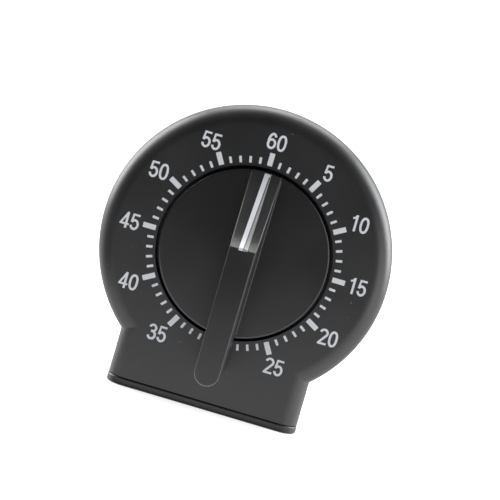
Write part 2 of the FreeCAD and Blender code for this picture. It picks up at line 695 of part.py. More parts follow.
def plate_holes(y_span):
    """Pivot holes of the arbors that run between the plates, and the pillar screws' holes."""
    staffs = (SECOND_AT, THIRD_AT, ESCAPE_AT, LEVER_AT, BALANCE_AT, ALARM_AT)
    holes = [rod(STAFF_R + RUNNING_GAP, y_span, at(place)) for place in staffs]
    holes += [rod(PILLAR_SCREW_R + THREAD_GAP, y_span, at(place)) for place in PILLARS]
    holes.append(rod(ARBOR_R + RUNNING_GAP, y_span))
    return one(holes)


def front_plate():
    span = (PLATE_FRONT_Y, GAP_FRONT)
    return plate_blank(span, True).cut(plate_holes(span))


def rear_plate():
    span = (GAP_REAR, GAP_REAR + PLATE_T)
    plate = plate_blank(span, False).cut(plate_holes(span))
    plate = plate.cut(rod(STAFF_R + RUNNING_GAP, span, at(HAMMER_AT)))
    notches = [rod(COVER_WELL_R + COVER_WELL_WALL + 0.3, span, place) for place in COVER_SCREWS[:2]]
    return plate.cut(one(notches)).cut(rod(BELL_STUD_R, span, at(BELL_AT)))


def plate_pillars():
    pillars = []
    for pillar in PILLARS:
        place = at(pillar)
        body = rod(PILLAR_R, (GAP_FRONT, GAP_REAR), place)
        hole_r = PILLAR_SCREW_R + THREAD_GAP
        depth = PILLAR_SCREW_REACH + 0.2
        front = rod(hole_r, (GAP_FRONT, GAP_FRONT + depth), place)
        rear = rod(hole_r, (GAP_REAR - depth, GAP_REAR), place)
        pillars.append(body.cut(one([front, rear])))
    return one(pillars)


# --- Main arbor, spring and train ---
def main_arbor():
    body = rod(ARBOR_BODY_R, (GAP_FRONT + END_SHAKE, GAP_REAR - END_SHAKE))
    front = rod(ARBOR_R, (ARBOR_FLAT_END_Y, GAP_FRONT + END_SHAKE))
    rear = rod(ARBOR_R, (GAP_REAR - END_SHAKE, ARBOR_REAR_Y))
    end = arbor_section((ARBOR_FRONT_Y, ARBOR_FLAT_END_Y), 0.0)
    return body.multiFuse([front, rear, end]).removeSplitter()


def spring_outer_x():
    """Where the mainspring's outer end lies, left of the arbor."""
    radius = SPRING_R + (SPRING_HALF_TURNS - 1) * SPRING_PITCH / 2.0
    return -radius if SPRING_HALF_TURNS % 2 == 0 else radius


def mainspring():
    centre = (0.0, AXIS_Z)
    return spiral(centre, SPRING_R, SPRING_PITCH, SPRING_HALF_TURNS, SPRING_T, SPRING_Y)


def spring_post():
    """The post that holds the mainspring's outer end."""
    x = spring_outer_x() + SPRING_T + SPRING_POST_R + 0.05
    return rod(SPRING_POST_R, (GAP_FRONT, SPRING_Y[1] + 0.2), (x, AXIS_Z))


def staff(place):
    """A train arbor, its ends running in the plates."""
    return rod(STAFF_R, (PLATE_FRONT_Y, GAP_REAR + PLATE_T), at(place))


def pinion(place, leaves, module, wheel_span, phase):
    """A pinion on its arbor, driven by a wheel that lies in wheel_span."""
    span = (wheel_span[0] - PINION_PROUD, wheel_span[1] + PINION_PROUD)
    leaf = gear(at(place), leaves, module, span, phase, PINION_LEAF, STAFF_R / 2.0)
    return leaf.fuse(staff(place)).removeSplitter()


def main_wheel():
    centre = (0.0, AXIS_Z)
    phase = direction((0.0, 0.0), SECOND_AT)
    bore = ARBOR_BODY_R + RUNNING_GAP
    wheel = gear(centre, MAIN_TEETH, MAIN_MODULE, MAIN_Y, phase, WHEEL_TOOTH, bore)
    return spoked(wheel, centre, 5.0, 11.8, 4, 1.2, MAIN_Y)


def clutch_spring():
    """The three-armed spring washer that presses the main wheel to the arbor."""
    centre = (0.0, AXIS_Z)
    span = (MAIN_Y[1], MAIN_Y[1] + CLUTCH_T)
    arms = [bar_between(centre, polar(centre, 6.5, 30.0 + 120.0 * n), 1.1, span) for n in range(3)]
    star = rod(3.6, span).multiFuse(arms).removeSplitter()
    return star.cut(rod(ARBOR_BODY_R, span))


def second_pinion():
    gap_phase = direction(SECOND_AT, (0.0, 0.0)) + 180.0 / SECOND_LEAVES
    return pinion(SECOND_AT, SECOND_LEAVES, MAIN_MODULE, MAIN_Y, gap_phase)


def second_wheel():
    phase = direction(SECOND_AT, THIRD_AT)
    wheel = gear(at(SECOND_AT), SECOND_TEETH, SECOND_MODULE, SECOND_Y, phase, WHEEL_TOOTH, STAFF_R)
    return spoked(wheel, at(SECOND_AT), 2.2, 7.4, 4, 0.8, SECOND_Y)


def third_pinion():
    gap_phase = direction(THIRD_AT, SECOND_AT) + 180.0 / THIRD_LEAVES
    return pinion(THIRD_AT, THIRD_LEAVES, SECOND_MODULE, SECOND_Y, gap_phase)


def third_wheel():
    phase = direction(THIRD_AT, ESCAPE_AT)
    wheel = gear(at(THIRD_AT), THIRD_TEETH, THIRD_MODULE, THIRD_Y, phase, WHEEL_TOOTH, STAFF_R)
    return spoked(wheel, at(THIRD_AT), 1.8, 5.7, 4, 0.7, THIRD_Y)


def escape_pinion():
    gap_phase = direction(ESCAPE_AT, THIRD_AT) + 180.0 / ESCAPE_LEAVES
    return pinion(ESCAPE_AT, ESCAPE_LEAVES, THIRD_MODULE, THIRD_Y, gap_phase)


# --- Escapement ---
def pallet_places():
    """The two pallet pins, each side of the line from the escape wheel to the lever's pivot."""
    middle = direction(ESCAPE_AT, LEVER_AT)
    reach = ESCAPE_R + PALLET_PIN_R + PALLET_CLEAR
    return [polar(at(ESCAPE_AT), reach, middle + side * PALLET_SPAN / 2.0) for side in (-1, 1)]


def escape_wheel():
    """Fifteen pointed teeth; the pins stand a quarter of a pitch each side of a gap's middle."""
    step = 360.0 / ESCAPE_TEETH
    phase = direction(ESCAPE_AT, LEVER_AT)
    centre = at(ESCAPE_AT)
    outline = []
    for number in range(ESCAPE_TEETH):
        middle = phase + number * step
        outline.append(polar(centre, ESCAPE_ROOT_R, middle - 0.3 * step))
        outline.append(polar(centre, ESCAPE_R, middle - 0.02 * step))
        outline.append(polar(centre, ESCAPE_R, middle + 0.02 * step))
        outline.append(polar(centre, ESCAPE_ROOT_R, middle + 0.3 * step))
    wheel = slab(outline, ESCAPE_Y).cut(rod(STAFF_R, ESCAPE_Y, centre))
    return spoked(wheel, centre, 1.4, 3.0, 3, 0.45, ESCAPE_Y)


def pallet_lever():
    pivot = at(LEVER_AT)
    balance = at(BALANCE_AT)
    arms = [bar_between(pivot, place, 0.55, LEVER_Y) for place in pallet_places()]
    along = direction(pivot, balance)
    stem_end = polar(pivot, FORK_REACH - 1.6, along)
    stem = bar_between(pivot, stem_end, 0.5, LEVER_Y)
    prongs = []
    offset = FORK_SLOT_HALF + 0.35
    for side in (-1, 1):
        root = polar(polar(pivot, FORK_REACH - 1.4, along), side * offset, along + 90.0)
        tip = polar(polar(pivot, FORK_REACH + 0.4, along), side * offset, along + 90.0)
        prongs.append(bar_between(root, tip, 0.35, LEVER_Y))
    middle = polar(pivot, FORK_REACH - 1.5, along)
    bridge_ends = [polar(middle, side * offset, along + 90.0) for side in (-1, 1)]
    bridge = bar_between(*bridge_ends, 0.35, LEVER_Y)
    hub = rod(1.2, LEVER_Y, pivot)
    lever = hub.multiFuse(arms + [stem, bridge] + prongs).removeSplitter()
    return lever.cut(rod(STAFF_R, LEVER_Y, pivot))


def pallet_pins():
    return one([rod(PALLET_PIN_R, (ESCAPE_Y[0] - 0.1, LEVER_Y[0]), place) for place in pallet_places()])


def pallet_arbor():
    return staff(LEVER_AT)


def balance_wheel():
    centre = at(BALANCE_AT)
    wheel = rod(BALANCE_R, BALANCE_Y, centre).cut(rod(STAFF_R, BALANCE_Y, centre))
    return spoked(wheel, centre, 1.6, BALANCE_RIM_R, 2, 0.7, BALANCE_Y)


def impulse_place():
    along = direction(LEVER_AT, BALANCE_AT)
    return polar(at(LEVER_AT), FORK_REACH, along)


def balance_staff():
    """The balance's arbor with its roller, which carries the impulse pin."""
    centre = at(BALANCE_AT)
    roller_front = BALANCE_Y[0] - ROLLER_T
    roller = rod(ROLLER_R, (roller_front, BALANCE_Y[0]), centre)
    pin = rod(IMPULSE_R, (LEVER_Y[0] - 0.1, roller_front), impulse_place())
    collet = rod(1.0, (HAIRSPRING_Y[0] - 0.2, HAIRSPRING_Y[1] + 0.2), centre)
    return staff(BALANCE_AT).multiFuse([roller, pin, collet]).removeSplitter()


def hairspring():
    centre = at(BALANCE_AT)
    return spiral(centre, HAIRSPRING_R, HAIRSPRING_PITCH, HAIRSPRING_HALF_TURNS, HAIRSPRING_T, HAIRSPRING_Y)


def hairspring_stud():
    """The post that holds the hairspring's outer end."""
    coil_r = HAIRSPRING_R + (HAIRSPRING_HALF_TURNS - 1) * HAIRSPRING_PITCH / 2.0
    reach = coil_r + HAIRSPRING_T + STUD_R + 0.05
    x, z = at(BALANCE_AT)
    return rod(STUD_R, (HAIRSPRING_Y[0] - 0.2, GAP_REAR), (x + reach, z))


# --- Alarm ---
def alarm_cam():
    """A disc on the arbor with one notch, which lies at the top when the time is up."""
    notch = block((-1.9, 1.4), CAM_Y, (AXIS_Z + CAM_NOTCH_R, AXIS_Z + CAM_R + 1.0))
    return rod(CAM_R, CAM_Y).cut(rod(ARBOR_BODY_R, CAM_Y)).cut(notch)


def alarm_lever():
    pivot = at(ALARM_AT)
    nose = (0.0, AXIS_Z + ALARM_NOSE_Z + 0.4)
    elbow = (0.0, AXIS_Z + ALARM_NOSE_Z + 2.2)
    arm = bar_between(pivot, elbow, 0.7, CAM_Y)
    tip = bar_between(elbow, nose, 0.4, CAM_Y)
    hub = rod(1.5, CAM_Y, pivot)
    lever = hub.multiFuse([arm, tip]).removeSplitter()
    return lever.cut(rod(STAFF_R, CAM_Y, pivot))


def alarm_arbor():
    return staff(ALARM_AT)


def hammer_head_place():
    reach = BELL_R + HAMMER_HEAD_R + HAMMER_GAP
    return polar(at(BELL_AT), reach, HAMMER_ANGLE)


def hammer():
    pivot = at(HAMMER_AT)
    head = hammer_head_place()
    arm = bar_between(pivot, head, 0.6, HAMMER_Y)
    weight = rod(HAMMER_HEAD_R, (HAMMER_Y[0], BELL_RIM_Y + 1.6), head)
    hub = rod(1.4, HAMMER_Y, pivot)
    shape = hub.multiFuse([arm, weight]).removeSplitter()
    return shape.cut(rod(STAFF_R, HAMMER_Y, pivot))


def hammer_arbor():
    """A short arbor in the rear plate; its pallet inside is kicked to and fro while ringing."""
    place = at(HAMMER_AT)
    inner_end = GAP_REAR - 1.6
    shaft = rod(STAFF_R, (inner_end, HAMMER_Y[1] + 0.3), place)
    collar = rod(1.2, (inner_end, GAP_REAR - END_SHAKE), place)
    span = (inner_end, inner_end + HAMMER_PALLET_T)
    pallets = [bar_between(place, polar(place, 2.6, angle), 0.45, span) for angle in (30.0, 150.0)]
    return shaft.multiFuse([collar] + pallets).removeSplitter()


def bell():
    """A shallow pressed-steel gong, open towards the movement."""
    place = at(BELL_AT)
    shoulder = BELL_R - BELL_SHOULDER
    profile = [
        (BELL_HOLE_R, BELL_CROWN_Y),
        (BELL_FLAT_R, BELL_CROWN_Y),
        (shoulder, BELL_CROWN_Y - 0.2),
        (BELL_R - 0.6, BELL_CROWN_Y - 1.0),
        (BELL_R, BELL_RIM_Y + 0.2),
        (BELL_R, BELL_RIM_Y),
        (BELL_R - BELL_T, BELL_RIM_Y),
        (BELL_R - BELL_T - 0.5, BELL_CROWN_Y - 1.0 - BELL_T),
        (shoulder - 0.3, BELL_CROWN_Y - 0.2 - BELL_T),
        (BELL_FLAT_R, BELL_CROWN_Y - BELL_T),
        (BELL_HOLE_R, BELL_CROWN_Y - BELL_T),
    ]
    return turned(profile, place)


def bell_post():
    place = at(BELL_AT)
    shoulder = rod(2.2, (GAP_REAR + PLATE_T, BELL_CROWN_Y - BELL_T), place)
    rivet = rod(BELL_STUD_R - THREAD_GAP, (GAP_REAR, GAP_REAR + PLATE_T), place)
    thread = rod(BELL_STUD_R, (BELL_CROWN_Y - BELL_T, BELL_CROWN_Y + BELL_NUT_T + 0.1), place)
    return shoulder.multiFuse([rivet, thread]).removeSplitter()


def bell_nut():
    place = at(BELL_AT)
    span = (BELL_CROWN_Y, BELL_CROWN_Y + BELL_NUT_T)
    hexagon = slab([polar(place, BELL_NUT_R, 60.0 * n) for n in range(6)], span)
    return hexagon.cut(rod(BELL_STUD_R + THREAD_GAP, span, place))


NODES = {
    "front_housing": front_housing,
    "rear_cover": rear_cover,
    "base_foot": base_foot,
    "cover_screws": cover_screws,
    "base_screws": base_screws,
    "dial_knob": dial_knob,
    "pointer_ridge": pointer_ridge,
    "front_plate": front_plate,
    "rear_plate": rear_plate,
    "plate_pillars": plate_pillars,
    "pillar_screws": pillar_screws,
    "movement_screws": movement_screws,
    "main_arbor": main_arbor,
    "mainspring": mainspring,
    "spring_post": spring_post,
    "main_wheel": main_wheel,
    "clutch_spring": clutch_spring,
    "second_pinion": second_pinion,
    "second_wheel": second_wheel,
    "third_pinion": third_pinion,
    "third_wheel": third_wheel,
    "escape_pinion": escape_pinion,
    "escape_wheel": escape_wheel,
    "pallet_lever": pallet_lever,
    "pallet_pins": pallet_pins,
    "pallet_arbor": pallet_arbor,
    "balance_wheel": balance_wheel,
    "balance_staff": balance_staff,
    "hairspring": hairspring,
    "hairspring_stud": hairspring_stud,
    "alarm_cam": alarm_cam,
    "alarm_lever": alarm_lever,
    "alarm_arbor": alarm_arbor,
    "hammer": hammer,
    "hammer_arbor": hammer_arbor,
    "bell": bell,
    "bell_post": bell_post,
    "bell_nut": bell_nut,
}

os.makedirs("parts", exist_ok=True)
for name, make in NODES.items():
    shape = make()
    print(name, len(shape.Solids), "solids", round(shape.Volume, 2), "mm3", shape.isValid())
    shape.exportStep("parts/" + name + ".step")
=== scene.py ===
import json
import math

import bmesh
import bpy
from mathutils import Matrix, Vector


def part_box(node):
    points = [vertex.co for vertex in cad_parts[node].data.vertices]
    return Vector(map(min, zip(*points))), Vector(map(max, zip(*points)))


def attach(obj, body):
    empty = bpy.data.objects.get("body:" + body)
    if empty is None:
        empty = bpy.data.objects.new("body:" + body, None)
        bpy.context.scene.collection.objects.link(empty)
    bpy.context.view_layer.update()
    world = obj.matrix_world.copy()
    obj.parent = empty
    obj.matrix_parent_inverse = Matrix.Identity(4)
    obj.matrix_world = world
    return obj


# Kitchen timer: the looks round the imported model. Blender's unit is the metre; sizes named here are
# millimetres times MM. The face looks along -Y and the knob turns about a Y axis.
MM = 0.001

# --- Camera ---
CAMERA_AZIMUTH = math.radians(1.6)
CAMERA_ELEVATION = math.radians(8.8)
CAMERA_ROLL = math.radians(16.17)
CAMERA_DISTANCE = 670 * MM
CAMERA_LENS = 211.4
SENSOR_WIDTH = 36.0
CLIP_NEAR = 0.05
CLIP_FAR = 60.0
AIM_RIGHT = 1.38 * MM        # the camera aims this far beside the middle of the dial
AIM_UP = 0.86 * MM

# --- Dial print ---
INK_PROUD = 0.03 * MM
INK_SUNK = 0.02 * MM
TICK_INNER_R = 21.0 * MM
TICK_LENGTH = 1.5 * MM
TICK_WIDTH = 0.58 * MM
LONG_TICK_LENGTH = 3.0 * MM
LONG_TICK_WIDTH = 1.2 * MM
TICK_CORNER = 0.12 * MM
MINUTES = 60
FIGURE_STEP = 5
FIGURE_R = 27.2 * MM
DIGIT_PITCH = 2.32 * MM
# The figures aren't printed quite evenly: millimetres to the right and up from the even ring.
FIGURE_SHIFT = {
    5: (-0.2, -0.4), 10: (-0.2, 0.4), 15: (-0.3, 0.0), 20: (0.3, 0.4), 25: (0.2, 0.3), 30: (-0.1, 0.4),
    35: (-0.5, 0.2), 40: (-0.1, 0.0), 45: (0.1, -0.1), 50: (-0.3, -0.7), 55: (-0.6, -0.7), 60: (0.2, -0.5),
}

# Digits are drawn in millimetres round their own middle.
DIGIT_HALF_H = 1.9
STROKE = 0.53
THIN_STROKE = 0.45
TOP = DIGIT_HALF_H - STROKE / 2          # middle of a stroke along the top
SIDE = 0.79                              # middle of a stroke down the side
LEAST_MITRE = 0.5                        # keeps a sharp corner of a stroke from growing a spike

# --- Knob ---
# The pointer's flank lies right of a slanting line: x at the height of the axis, and its lean.
FLANK_X = -0.06 * MM
FLANK_LEAN = 0.0456
FLANK_BLEND = 0.05 * MM
HATCH_PITCH = 0.45 * MM
HOLLOW_Z = (40.9 * MM, 41.3 * MM)            # the hollow at the bar's break begins at this height
HOLLOW_REACH = (26.2 * MM, 28.2 * MM)        # and is this far in front of the middle of the case

# --- Finishes: colours are linear, grains and depths are metres ---
CASE_BLACK = (0.008, 0.008, 0.009)
CASE_WORN = (0.011, 0.011, 0.012)
CASE_ROUGHNESS = 0.40
KNOB_BLACK = (0.004, 0.004, 0.005)
KNOB_WORN = (0.006, 0.006, 0.007)
KNOB_ROUGHNESS = 0.33
DUST = (0.1, 0.098, 0.095)
DUST_GRAIN = 0.9 * MM
WEAR_GRAIN = 14 * MM
TEXTURE_GRAIN = 0.16 * MM
TEXTURE_DEPTH = 0.012 * MM
HOLLOW_GRAIN = 0.28 * MM
HOLLOW_DEPTH = 0.08 * MM
INK_WHITE = (0.64, 0.66, 0.70)
INK_DULL = 0.8               # brightness of the ink where it is thin
INK_THIN_GRAIN = 0.12 * MM
POINTER_WHITE = (0.58, 0.59, 0.62)
# Flank colours: greyer than the rib, partly painted shade for the side turned from the light, partly thin paint
# over ribs.
FLANK_LIGHT = (0.5, 0.51, 0.54)
FLANK_DARK = (0.03, 0.03, 0.035)
PAINT_ROUGHNESS = 0.45
PAINT_GRAIN = 0.1 * MM
PAINT_DEPTH = 0.003 * MM
STAIN_GRAIN = 5 * MM
SCRATCH_DEPTH = 0.004 * MM
# Metals: colour, stained colour, roughness, grain, and how much the grain is drawn out each way.
METALS = {
    "brass": ((0.72, 0.52, 0.22), (0.55, 0.37, 0.15), 0.32, 0.4 * MM, (1.0, 1.0, 0.1)),
    "steel": ((0.56, 0.56, 0.58), (0.42, 0.42, 0.44), 0.28, 0.3 * MM, (1.0, 0.1, 1.0)),
    "blued_steel": ((0.16, 0.18, 0.26), (0.1, 0.11, 0.17), 0.25, 0.3 * MM, (1.0, 0.2, 1.0)),
    "nickel": ((0.74, 0.73, 0.7), (0.6, 0.59, 0.56), 0.16, 0.8 * MM, (1.0, 0.2, 1.0)),
}

# --- Studio ---
FLOOR_HALF = 6.0
FLOOR_Z = -0.05 * MM         # just under the timer's flat underside
FLOOR_COLOR = (0.38, 0.38, 0.38)
FLOOR_ROUGHNESS = 0.9
FLOOR_PATCH = 0.3            # size in metres of the floor's faint patches
FLOOR_PATCH_LIGHTER = 1.03
FLOOR_GLOW = 0.75
WORLD_STRENGTH = 2.0
# Brightness along the world's axis: 1 is behind the timer and a little down, -1 is towards the camera.
WORLD_AXIS = Vector((0.08, 0.99, -0.12)).normalized()
WORLD_BRIGHTNESS = ((-1.0, 0.062), (-0.6, 0.1), (-0.2, 0.24), (0.2, 0.9), (0.6, 0.8), (1.0, 0.55))
# Lights: place in metres from the middle of the dial, direction, size, radiance and colour.
SOFT_BOXES = {
    "overhead": ((0.0, 0.33, 0.62), (0.0, -0.47, -0.88), (0.7, 0.4), 6.5, (1.0, 0.985, 0.96)),
    "left": ((-0.62, 0.24, 0.26), (0.9, -0.3, -0.38), (0.5, 0.62), 9.0, (1.0, 1.0, 1.0)),
    "right": ((0.62, 0.17, 0.27), (-0.88, -0.25, -0.4), (0.5, 0.62), 10.5, (0.97, 0.98, 1.0)),
}
# White cards in front, on the floor and standing to the right, which only the reflections see.
CARDS = {
    "floor_card": ((0.12, -0.064, -0.0374), (0.0, 0.0, 1.0), (0.36, 0.124), 1.8, (0.98, 0.98, 1.0)),
    "right_card": ((0.16, -0.12, 0.0), (-0.8, 0.6, 0.0), (0.1, 0.08), 4.0, (0.98, 0.99, 1.0)),
}

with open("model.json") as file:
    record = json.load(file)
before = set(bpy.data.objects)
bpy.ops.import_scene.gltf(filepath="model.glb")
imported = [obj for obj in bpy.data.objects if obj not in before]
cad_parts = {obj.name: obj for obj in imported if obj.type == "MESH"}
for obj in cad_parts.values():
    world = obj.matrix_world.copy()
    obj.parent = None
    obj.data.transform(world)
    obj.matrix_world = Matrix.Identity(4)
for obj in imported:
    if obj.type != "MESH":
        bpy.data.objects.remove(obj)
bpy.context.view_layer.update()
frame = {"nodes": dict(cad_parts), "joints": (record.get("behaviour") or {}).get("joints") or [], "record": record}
NODES = frame["nodes"]
JOINT = {joint["name"]: joint for joint in frame["joints"]}
KNOB_AXIS = Vector(JOINT["knob_turn"]["pos_m"])
FACE_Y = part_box("front_housing")[0].y
DIAL_MIDDLE = Vector((KNOB_AXIS.x, FACE_Y, KNOB_AXIS.z))


# --- Material helpers ---
class Look:
    """A material's node tree, with short calls for the nodes it needs."""

    def __init__(self, name, color, roughness, metallic=0.0, specular=0.5):
        self.material = bpy.data.materials.new(name)
        self.material.use_nodes = True
        self.tree = self.material.node_tree
        self.shader = self.tree.nodes["Principled BSDF"]
        self.shader.inputs["Base Color"].default_value = (*color, 1.0)
        self.shader.inputs["Roughness"].default_value = roughness
        self.shader.inputs["Metallic"].default_value = metallic
        self.shader.inputs["Specular IOR Level"].default_value = specular
        self.place = self.tree.nodes.new("ShaderNodeTexCoord").outputs["Object"]

    def link(self, output, node, socket):
        self.tree.links.new(output, node.inputs[socket])

    def noise(self, grain, detail=2.0, stretch=(1.0, 1.0, 1.0)):
        """Noise with features about grain metres across."""
        place = self.place
        if stretch != (1.0, 1.0, 1.0):
            mapping = self.tree.nodes.new("ShaderNodeMapping")
            mapping.inputs["Scale"].default_value = stretch
            self.link(place, mapping, "Vector")
            place = mapping.outputs["Vector"]
        node = self.tree.nodes.new("ShaderNodeTexNoise")
        node.inputs["Scale"].default_value = 1.0 / grain
        node.inputs["Detail"].default_value = detail
        self.link(place, node, "Vector")
        return node.outputs["Fac"]

    def along(self, way):
        """How far a place lies along a direction, in metres."""
        node = self.tree.nodes.new("ShaderNodeVectorMath")
        node.operation = "DOT_PRODUCT"
        self.tree.links.new(self.place, node.inputs[0])
        node.inputs[1].default_value = way
        return node.outputs["Value"]

    def hatch(self, pitch):
        """Fine slanting lines."""
        node = self.tree.nodes.new("ShaderNodeTexWave")
        node.bands_direction = "DIAGONAL"
        node.inputs["Scale"].default_value = math.pi / 10 / pitch
        self.link(self.place, node, "Vector")
        return node.outputs["Fac"]

    def spread(self, value, low, high, to_low=0.0, to_high=1.0):
        """value's span low..high, stretched over to_low..to_high and held there."""
        node = self.tree.nodes.new("ShaderNodeMapRange")
        node.clamp = True
        self.link(value, node, "Value")
        limits = {"From Min": low, "From Max": high, "To Min": to_low, "To Max": to_high}
        for socket, number in limits.items():
            node.inputs[socket].default_value = number
        return node.outputs["Result"]

    def mix_color(self, factor, first, second):
        node = self.tree.nodes.new("ShaderNodeMix")
        node.data_type = "RGBA"
        self.link(factor, node, "Factor")
        for socket, color in ((node.inputs[6], first), (node.inputs[7], second)):
            if isinstance(color, tuple):
                socket.default_value = (*color, 1.0)
            else:
                self.tree.links.new(color, socket)
        return node.outputs[2]

    def times(self, first, second):
        node = self.tree.nodes.new("ShaderNodeMath")
        node.operation = "MULTIPLY"
        self.tree.links.new(first, node.inputs[0])
        self.tree.links.new(second, node.inputs[1])
        return node.outputs[0]

    def relief(self, *layers):
        """Bump from (height, depth in metres) layers."""
        normal = None
        for height, depth in layers:
            node = self.tree.nodes.new("ShaderNodeBump")
            node.inputs["Distance"].default_value = depth
            self.link(height, node, "Height")
            if normal is not None:
                self.link(normal, node, "Normal")
            normal = node.outputs["Normal"]
        self.link(normal, self.shader, "Normal")

    def color(self, output):
        self.link(output, self.shader, "Base Color")

    def roughness(self, output):
        self.link(output, self.shader, "Roughness")


# --- Materials ---
def black_plastic(name, color, worn, roughness, coarse_hollow=False):
    """Matt moulded plastic: a fine spark-eroded texture, handling marks and a little dust. The
    texture can be coarser in the hollow at the finger bar's break."""
    look = Look(name, color, roughness)
    fine = look.noise(TEXTURE_GRAIN, 3.0)
    cloud = look.noise(WEAR_GRAIN, 4.0)
    specks = look.spread(look.noise(DUST_GRAIN, 1.0), 0.79, 0.83)
    shade = look.mix_color(look.spread(cloud, 0.35, 0.7), color, worn)
    look.color(look.mix_color(specks, shade, DUST))
    look.roughness(look.spread(cloud, 0.3, 0.7, roughness - 0.03, roughness + 0.05))
    layers = [(fine, TEXTURE_DEPTH)]
    if coarse_hollow:
        above = look.spread(look.along((0.0, 0.0, 1.0)), *HOLLOW_Z)
        forward = look.spread(look.along((0.0, -1.0, 0.0)), *HOLLOW_REACH)
        hollow = look.times(above, forward)
        layers.append((look.times(hollow, look.noise(HOLLOW_GRAIN)), HOLLOW_DEPTH))
    look.relief(*layers)
    return look.material


def white_ink(name, color):
    """Printed ink: thin in tiny spots, where the black shows a little."""
    look = Look(name, color, PAINT_ROUGHNESS)
    thin = look.spread(look.noise(INK_THIN_GRAIN, 2.0), 0.25, 0.5)
    dull = tuple(INK_DULL * part for part in color)
    look.color(look.mix_color(thin, dull, color))
    look.relief((look.noise(PAINT_GRAIN), PAINT_DEPTH))
    return look.material


def pointer_plastic(name, color, flank_light, flank_dark):
    """White rib; to the right of its groove the flank is greyer, with fine slanting lines. The grey is
    partly painted shade, for the flank turned away from the light, and partly thin paint over ribs.
    """
    look = Look(name, color, PAINT_ROUGHNESS)
    # Painted shade and thin paint: the flank right of the slanting line is coloured greyer and hatched.
    flank = look.mix_color(look.hatch(HATCH_PITCH), flank_dark, flank_light)
    beside = look.along((1.0, 0.0, -FLANK_LEAN))
    border = FLANK_X - FLANK_LEAN * KNOB_AXIS.z
    flank_shade_and_thin_paint_mask = look.spread(beside, border, border + FLANK_BLEND)
    look.color(look.mix_color(flank_shade_and_thin_paint_mask, color, flank))
    look.relief((look.noise(PAINT_GRAIN), PAINT_DEPTH))
    return look.material


def metal(name, color, dark, roughness, grain, stretch):
    """Metal with a drawn or turned grain and stained patches."""
    look = Look(name, color, roughness, metallic=1.0)
    scratches = look.noise(grain, 3.0, stretch)
    patches = look.noise(STAIN_GRAIN, 3.0)
    look.color(look.mix_color(look.spread(patches, 0.35, 0.75), color, dark))
    look.roughness(look.spread(scratches, 0.3, 0.7, roughness - 0.08, roughness + 0.1))
    look.relief((scratches, SCRATCH_DEPTH))
    return look.material


def dress(name, material):
    slots = NODES[name].data.materials
    slots.clear()
    slots.append(material)


# --- Mesh helpers ---
def mesh_piece(name, bm):
    mesh = bpy.data.meshes.new(name)
    bm.normal_update()
    bm.to_mesh(mesh)
    bm.free()
    piece = bpy.data.objects.new(name, mesh)
    bpy.context.scene.collection.objects.link(piece)
    return piece


def prism(bm, outline, front, back):
    """A closed flat piece from an outline of (x, z) points, counter-clockwise seen from -Y."""
    ring = [bm.verts.new((x, front, z)) for x, z in outline]
    rear = [bm.verts.new((x, back, z)) for x, z in outline]
    bm.faces.new(ring)
    bm.faces.new(reversed(rear))
    count = len(outline)
    for number in range(count):
        after = (number + 1) % count
        bm.faces.new((ring[after], ring[number], rear[number], rear[after]))


def arc(centre, radii, start, end, steps=14):
    """Points on an ellipse's arc, angles in degrees from +x towards +z."""
    points = []
    for number in range(steps + 1):
        angle = math.radians(start + (end - start) * number / steps)
        points.append((centre[0] + radii[0] * math.cos(angle), centre[1] + radii[1] * math.sin(angle)))
    return points


def ribbon(bm, line, width, closed=False):
    """A stroke of even width along a line of (x, z) points, with square ends."""
    count = len(line)
    left, right = [], []
    for number, point in enumerate(line):
        before = line[number - 1] if closed or number > 0 else None
        after = line[(number + 1) % count] if closed or number < count - 1 else None
        here = Vector(point)
        ways = [(here - Vector(before)).normalized()] if before is not None else []
        ways += [(Vector(after) - here).normalized()] if after is not None else []
        along = sum(ways, Vector((0.0, 0.0))).normalized()
        across = Vector((-along.y, along.x))
        reach = width / 2 / max(along.dot(ways[0]), LEAST_MITRE)
        left.append(here + across * reach)
        right.append(here - across * reach)
    front, back = -1.0, 1.0
    rows = [[bm.verts.new((p.x, y, p.y)) for p in side]
            for side, y in ((right, front), (left, front), (left, back), (right, back))]
    spans = count if closed else count - 1
    for number in range(spans):
        after = (number + 1) % count
        for row in range(4):
            low, high = rows[row], rows[(row + 1) % 4]
            bm.faces.new((low[number], low[after], high[after], high[number]))
    if not closed:
        for number, turn in ((0, 1), (count - 1, -1)):
            bm.faces.new([row[number] for row in rows][::turn])


# --- Digits: each is a list of strokes, (line, width, closed), or closed outlines ---
def oval(centre, radii, power, steps=40):
    points = []
    for number in range(steps):
        angle = 2 * math.pi * number / steps
        cosine, sine = math.cos(angle), math.sin(angle)
        x = math.copysign(abs(cosine) ** (2 / power), cosine)
        z = math.copysign(abs(sine) ** (2 / power), sine)
        points.append((centre[0] + radii[0] * x, centre[1] + radii[1] * z))
    return points


